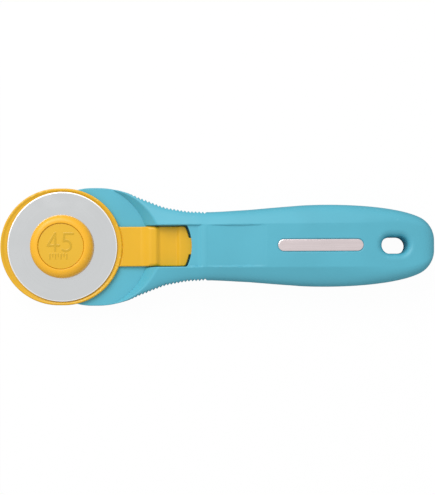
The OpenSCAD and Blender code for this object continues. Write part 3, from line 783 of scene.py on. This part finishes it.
grip = dict(first=27.0, last=59.3, pitch=1.46, lean=0.62, deep=0.9, inset=0.12, lead=4.0,
            clear=10)
hangHole = dict(back=16.7, r=3.25, half=1.75, draft=0.06, flare=2.6)
window = dict(half=8.46, gap=0.85, corner=0.5, edge=0.3, way=12.4, wayLong=24.5, wayEdge=0.2)
pocket = dict(x=9.7, r=25.5, slope=0.9, edge=0.5)
hollow = dict(foot=0.1, edge=0.2)
bar = dict(deep=0.8, flat=2.2, ramp=2.8, clear=9)
rest = dict(back=18.2, half=12.0, deep=0.6, width=8.3)
plateSet = dict(deep=0.5, slack=0.22, edge=0.12, steps=24, smooth=30)
axleHole = dict(deep=2, slack=0.05)
counterbore = dict(deep=2.2, slack=0.2, edge=0.25)
windowX = tongueEnd + window["gap"]


def halfWidth(x):
    # the outline in four stretches: round head, waist, grip and tail
    h = handle
    head = np.sqrt(np.maximum(h["headR"] ** 2 - (x - h["headX"]) ** 2, h["headLeast"]))
    neckLong = h["neckX"] - h["headX"] - h["headFlat"]
    waist = mix(h["headR"], h["neckW"] / 2, ease((x - h["headX"] - h["headFlat"]) / neckLong))
    belly = mix(h["neckW"], h["bellyW"], blend(x, h["neckX"], h["bellyX"] - h["neckX"])) / 2
    along = np.clip((x - h["bellyX"]) / (h["reach"] - h["bellyX"]), 0, 1)
    tail = (h["bellyW"] / 2 * np.maximum(1 - along ** 2, tiny) ** h["tailPower"]
            - h["tuck"] * np.clip((x - h["reach"]) / h["tuckLong"] + 1, 0, 1) ** 2)
    waist = waist + h["swell"] * blend(x, *h["swellFrom"])
    belly = (belly + h["swell"] * (1 - blend(x, *h["swellTo"]))
             - h["pinch"] * blend(x, *h["pinchFrom"]) * (1 - blend(x, *h["pinchTo"])))
    behind = np.where(x < h["bellyX"], belly, tail)
    return np.where(x < h["headX"], head, np.where(x < h["neckX"], waist, behind))


def closing(x):
    # 1 along the handle, falling to 0 at the tail's end
    tail, power = handle["tail"], handle["tailRound"]
    past = np.maximum(x - (handle["reach"] - tail), 0) / tail
    return np.maximum(0, 1 - past ** power) ** (1 / power)


def topAt(x):
    h = handle
    archLong = h["bellyX"] - h["headX"] - h["headR"] - h["archIn"]
    arch = h["drop"] * ((x - h["bellyX"]) / archLong) ** 2
    return plateZ + (h["rise"] - arch) * closing(x)


def rampAt(x):
    # 0 at the thin head plate, 1 where the back is at its full depth
    h = handle
    return ease((x - h["headX"] - h["rampFrom"] * h["headR"]) / h["ramp"])


def lowAt(x):
    return plateZ - mix(handle["plate"], plateZ, rampAt(x)) * closing(x)


def teeth(x):
    # how far the finger grip is cut in from the outline
    g = grip
    phase = np.mod((x - g["first"]) / g["pitch"], 1)
    tooth = np.where(phase < g["lean"], phase / g["lean"], (1 - phase) / (1 - g["lean"]))
    fade = np.clip((x - g["first"]) / g["lead"], 0, 1) * (x < g["last"])
    return (g["inset"] + g["deep"] * tooth) * fade


def sectionGap(y, z, w, flat, h, full, lean, soft=0.0):
    # distance from a section with a flat band of half-width flat, side w and height h above the
    # parting line; full is how square its shoulders are, lean how far its sides fall away from
    # the band and soft how gently they start to
    w, h = np.maximum(w, section["leastW"]), np.maximum(h, section["leastH"])
    flat = np.minimum(flat, w - section["leastSide"])
    u = np.maximum((np.abs(y) - flat) / (w - flat), 0)
    u1 = np.minimum(u, 1)
    tall = h * (1 - lean * mix(u1, u1 ** 2, soft))
    v = np.maximum(z / tall, 0)
    g = (u ** full + v ** full) ** (1 / full) + tiny
    slope = np.hypot((u / g) ** (full - 1) / (w - flat), (v / g) ** (full - 1) / tall) + tiny
    return np.where(u > 0, (g - 1) / slope, z - h)


def leaned(gap, x):
    # evens out a gap that was measured across the handle, where the skin slopes along it
    slope = (gap(x + slopeStep) - gap(x - slopeStep)) / (2 * slopeStep)
    return gap(x) / np.sqrt(1 + slope ** 2)


def toothed(gap, x, y):
    # the teeth's cut, held clear of everything in front of the first tooth
    cut = np.abs(y) - halfWidth(x) + teeth(x) - grip["clear"] * (x < grip["first"])
    return np.maximum(gap, cut)


def frontSkin(x, y, z):
    s = section

    def across(at):
        w = halfWidth(at)
        flat = np.minimum(s["band"], s["bandShare"] * w)
        soft = blend(at, *s["frontSoft"])
        return sectionGap(y, z - plateZ, w, flat, topAt(at) - plateZ, *s["front"], soft)
    return toothed(np.maximum(leaned(across, x), x - handle["reach"]), x, y)


def backSkin(x, y, z):
    h, s = handle, section

    def across(at):
        w = halfWidth(at)
        foot = mix(np.maximum(w - s["footIn"], s["footShare"] * w),
                   np.minimum(s["band"], s["bandShare"] * w), rampAt(at))
        ring = at < h["headX"]
        side = np.where(ring, np.hypot(at - h["headX"], y), y)
        w = np.where(ring, h["headR"], w)
        foot = np.where(ring, h["headR"] - s["footIn"], foot)
        return sectionGap(side, plateZ - z, w, foot, plateZ - lowAt(at), *s["back"])
    return toothed(np.maximum(leaned(across, x), x - h["reach"]), x, y)


def pierced(gap, x, y, z):
    # the hanging hole with its rounded rims
    h = hangHole
    r = h["r"] + h["draft"] * np.abs(z - plateZ)
    hole = pillGap(x - handle["reach"] + h["back"], y, r, -h["half"], h["half"])
    return roundMax(gap, -hole, h["flare"])


def hollowed(gap, y, z, floorZ, half):
    # a shallow hollow across the band, with upright side walls
    cut = roundMax(floorZ - z, np.abs(y) - half, hollow["foot"])
    return roundMax(gap, -cut, hollow["edge"])


def frontGap(x, y, z):
    gap = pierced(frontSkin(x, y, z), x, y, z)
    gap = roundMax(gap, plateZ + handle["parting"] - z, handle["seam"])
    # the guard's pocket, the tongue's window and the way for its finger
    wall = pocket["r"] + pocket["slope"] * (z - plateZ) - np.hypot(x - pocket["x"], y)
    gap = roundMax(gap, wall / np.hypot(1, pocket["slope"]), pocket["edge"])
    beside = np.abs(y) - window["half"]
    end = (np.where(x > tongueMiddle, np.hypot(x - tongueMiddle, y), np.abs(y))
           - tongue["r"] - window["gap"])
    gap = roundMax(gap, -roundMax(beside, end, window["corner"]), window["edge"])
    way = np.maximum(np.maximum(beside, x - tongueEnd - window["wayLong"]), z - window["way"])
    gap = roundMax(gap, -way, window["wayEdge"])
    # the bar behind the window, the thumb rest and the name plate's seat
    barRamp = 1 - ease((x - windowX - bar["flat"]) / bar["ramp"])
    barTop = topAt(x) - bar["deep"] * barRamp + bar["clear"] * (x < tongueMiddle)
    barTop = np.where(x > windowX + bar["flat"] + bar["ramp"], far, barTop)
    gap = hollowed(gap, y, z, barTop, window["half"])
    along = (x - windowX - rest["back"]) / rest["half"]
    restTop = np.where(np.abs(along) > 1, far, topAt(x) - rest["deep"] * (1 - along ** 2))
    gap = hollowed(gap, y, z, restTop, rest["width"])
    seat = np.maximum(
        pillGap(x - plateMiddle, y, plateR + plateSet["slack"], -plateHalf, plateHalf),
        topAt(plateMiddle) - plateSet["deep"] - z)
    return roundMax(gap, -seat, plateSet["edge"])


def backGap(x, y, z):
    gap = pierced(backSkin(x, y, z), x, y, z)
    gap = roundMax(gap, z - plateZ, handle["seam"])
    hole = np.where(z > plateZ - axleHole["deep"], bolt["shoulder"], bolt["neck"])
    gap = np.maximum(gap, hole + axleHole["slack"] - np.hypot(x, y))
    c = counterbore
    for sx, sy in screwAt:
        bore = np.maximum(np.hypot(x - sx, np.abs(y) - sy) - screw["head"] - c["slack"],
                          z - c["deep"])
        gap = roundMax(gap, -bore, c["edge"])
    return gap


def handleStations(start):
    # close lines along the head and the teeth, wider ones along the grip, close again at the tail
    s, reach = shells, handle["reach"]
    lines = []
    for stop, size in (*s["cells"], (reach - s["tailFrom"], s["tailCell"]),
                       (reach + s["endPast"], s["endCell"])):
        lines.append(np.arange(start, stop, size))
        start = stop
    return np.concatenate(lines)


frontPiece = addMesh("frontShell", *netMesh(frontGap, (
    handleStations(shells["frontFrom"]), steps(*shells["side"]),
    stepsAround(plateZ, topAt(handle["bellyX"]), *shells["frontTall"]))), shells["smooth"])
dress(frontPiece, "handle", (handleBlue,), "handle_front_shell")
backPiece = addMesh("backShell", *netMesh(backGap, (
    handleStations(shells["backFrom"]), steps(*shells["side"]),
    stepsAround(0, plateZ, *shells["backTall"]))), shells["smooth"])
dress(backPiece, "handle", (handleBlue,), "handle_back_shell")


# name plate, brushed, left bare

def pillLoop(r, z):
    # outline round the plate's two ends, at one height
    a = np.radians(np.linspace(-90, 90, plateSet["steps"]))
    right = np.stack([plateMiddle + plateHalf + r * np.cos(a), r * np.sin(a)], 1)
    left = np.stack([plateMiddle - plateHalf - r * np.cos(a), -r * np.sin(a)], 1)
    loop = np.concatenate([right, left])
    return np.concatenate([loop, np.full((len(loop), 1), z)], 1)


def plateShape():
    # outlines from the bottom up, each with how far it is set in and its height
    top, bottom = plateHigh[2], plateLow[2]
    levels = [(0.1, bottom), (0, bottom + 0.1), (0, top - 0.2), (0.06, top - 0.12),
              (0.34, top - 0.01), (0.42, top), (1.4, top)]
    return stack([pillLoop(plateR - inset, z) for inset, z in levels])


platePiece = addMesh("namePlate", *plateShape(), plateSet["smooth"])
dress(platePiece, "handle", (plateSteel,), "name_plate")
print("handle made")


# floor and light, in metres and watts

floorSet = dict(half=2, drop=0.0001, paper=0.35, seenPaper=1.0, glow=0.97, rough=0.9, shine=0.1)
lightSet = dict(sky=0.66, seenSky=1.0, lamp=3.1, lampAt=(-0.28, 0.42, 0.49), lampSize=0.5)


def seenRays(tree, mirrored):
    # 1 for the camera's own rays, and for mirrored ones too if asked
    path = node(tree, "ShaderNodeLightPath").outputs
    straight, shiny = path["Is Camera Ray"], path["Is Glossy Ray"]
    return sums(tree, "MAXIMUM", straight, shiny) if mirrored else straight


half = floorSet["half"]
floorMesh = bpy.data.meshes.new("floor")
floorMesh.from_pydata([(-half, -half, 0), (half, -half, 0), (half, half, 0), (-half, half, 0)],
                      [], [(0, 1, 2, 3)])
floor = bpy.data.objects.new("floor", floorMesh)
floor.location = (0, 0, -floorSet["drop"])
bpy.context.scene.collection.objects.link(floor)
floorPaper = bpy.data.materials.new("floorPaper")
floorPaper.use_nodes = True
tree = floorPaper.node_tree
paper = tree.nodes["Principled BSDF"]
seen = seenRays(tree, False)
shade = remap(tree, seen, 0.0, 1.0, floorSet["paper"], floorSet["seenPaper"])
tree.links.new(shade, paper.inputs["Base Color"])
paper.inputs["Roughness"].default_value = floorSet["rough"]
paper.inputs["Specular IOR Level"].default_value = floorSet["shine"]
glow = node(tree, "ShaderNodeEmission", {"Color": (1, 1, 1, 1), "Strength": 1.0})
share = sums(tree, "MULTIPLY", seen, floorSet["glow"])
both = node(tree, "ShaderNodeMixShader", {0: share, 1: paper.outputs[0], 2: glow.outputs[0]})
tree.links.new(both.outputs[0], tree.nodes["Material Output"].inputs[0])
floorMesh.materials.append(floorPaper)

world = bpy.data.worlds.new("paleRoom")
bpy.context.scene.world = world
world.use_nodes = True
tree = world.node_tree
sky = tree.nodes["Background"]
sky.inputs["Color"].default_value = (1, 1, 1, 1)
strength = remap(tree, seenRays(tree, True), 0.0, 1.0, lightSet["sky"], lightSet["seenSky"])
tree.links.new(strength, sky.inputs["Strength"])

lampData = bpy.data.lights.new("softLamp", "AREA")
lampData.energy = lightSet["lamp"]
lampData.size = lightSet["lampSize"]
lamp = bpy.data.objects.new("softLamp", lampData)
lamp.location = lightSet["lampAt"]
lamp.rotation_mode = "QUATERNION"
lamp.rotation_quaternion = (-lamp.location).to_track_quat("-Z", "Y")
bpy.context.scene.collection.objects.link(lamp)
print("floor and light set")
